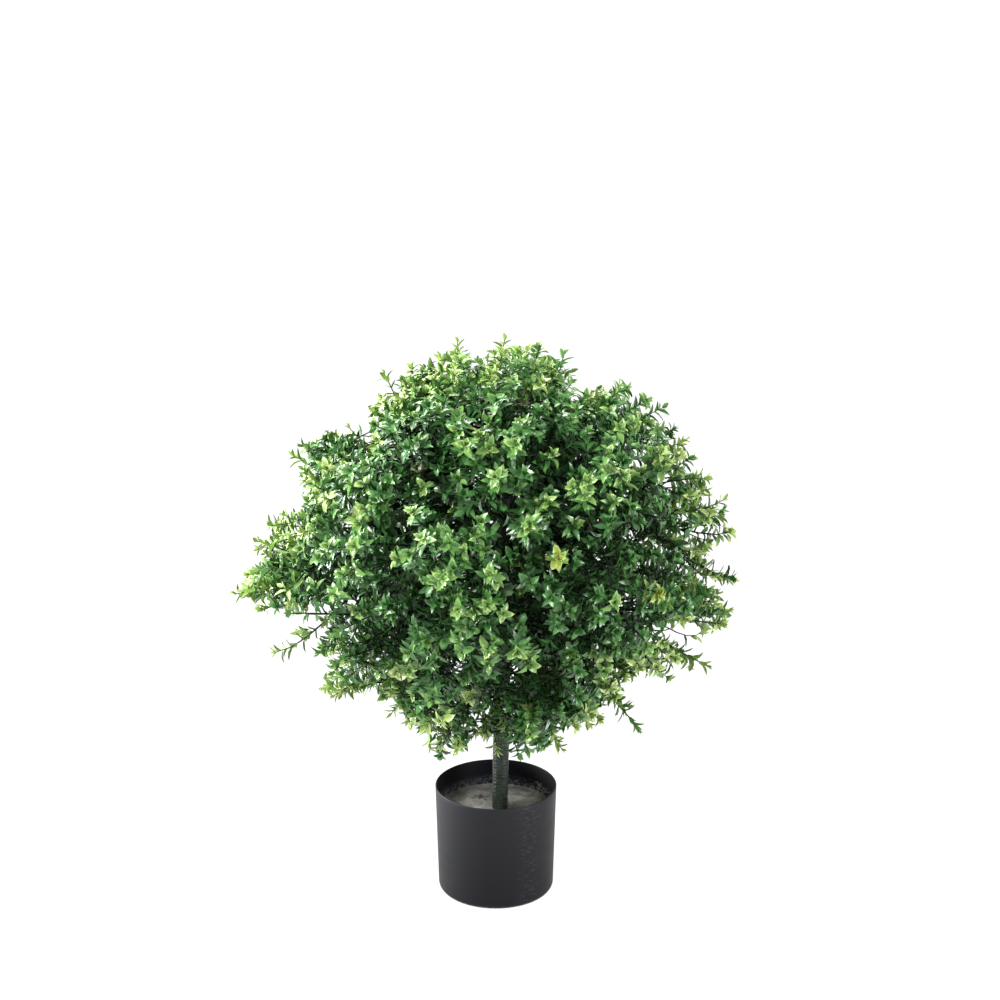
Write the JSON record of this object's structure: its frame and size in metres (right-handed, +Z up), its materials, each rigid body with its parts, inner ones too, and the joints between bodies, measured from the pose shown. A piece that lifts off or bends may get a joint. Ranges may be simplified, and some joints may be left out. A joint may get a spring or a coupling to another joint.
{
  "type": "artificial ball topiary in a nursery pot",
  "caption": "Artificial topiary with a round crown of small green plastic leaves on a clad trunk, set in a cement-filled black plastic pot that stands by itself.",
  "frame": {"origin": "centre of the pot's flat underside", "axes": "+Z up along the pot's axis, -Y towards the front that the picture shows, +X to its right"},
  "size_m": [0.5132, 0.4268, 0.5924],
  "materials": {
    "pot": "moulded charcoal black plastic, satin, a little dusty",
    "cement": "rough poured cement, grey beige, with pits and splashes",
    "trunk": "dark grey green plastic bark with fine rings and small pits",
    "stems": "dark green plastic wrapped wire",
    "leaves": "soft moulded plastic leaves, satin, dark to yellow green"
  },
  "bodies": {
    "root": {"pot": "pot", "cement_fill": "cement", "trunk": "trunk", "bough_top": "stems", "bough_upper_1": "stems", "bough_upper_2": "stems", "bough_upper_3": "stems", "bough_upper_4": "stems", "bough_upper_5": "stems", "bough_shoulder_1": "stems", "bough_shoulder_2": "stems", "bough_shoulder_3": "stems", "bough_shoulder_4": "stems", "bough_shoulder_5": "stems", "bough_shoulder_6": "stems", "bough_shoulder_7": "stems", "bough_flank_1": "stems", "bough_flank_2": "stems", "bough_flank_3": "stems", "bough_flank_4": "stems", "bough_flank_5": "stems", "bough_flank_6": "stems", "bough_flank_7": "stems", "bough_lower_1": "stems", "bough_lower_2": "stems", "bough_lower_3": "stems", "bough_lower_4": "stems", "bough_lower_5": "stems", "foliage_top": "leaves", "foliage_upper_1": "leaves", "foliage_upper_2": "leaves", "foliage_upper_3": "leaves", "foliage_upper_4": "leaves", "foliage_upper_5": "leaves", "foliage_shoulder_1": "leaves", "foliage_shoulder_2": "leaves", "foliage_shoulder_3": "leaves", "foliage_shoulder_4": "leaves", "foliage_shoulder_5": "leaves", "foliage_shoulder_6": "leaves", "foliage_shoulder_7": "leaves", "foliage_flank_1": "leaves", "foliage_flank_2": "leaves", "foliage_flank_3": "leaves", "foliage_flank_4": "leaves", "foliage_flank_5": "leaves", "foliage_flank_6": "leaves", "foliage_flank_7": "leaves", "foliage_lower_1": "leaves", "foliage_lower_2": "leaves", "foliage_lower_3": "leaves", "foliage_lower_4": "leaves", "foliage_lower_5": "leaves"}
  },
  "joints": []
}
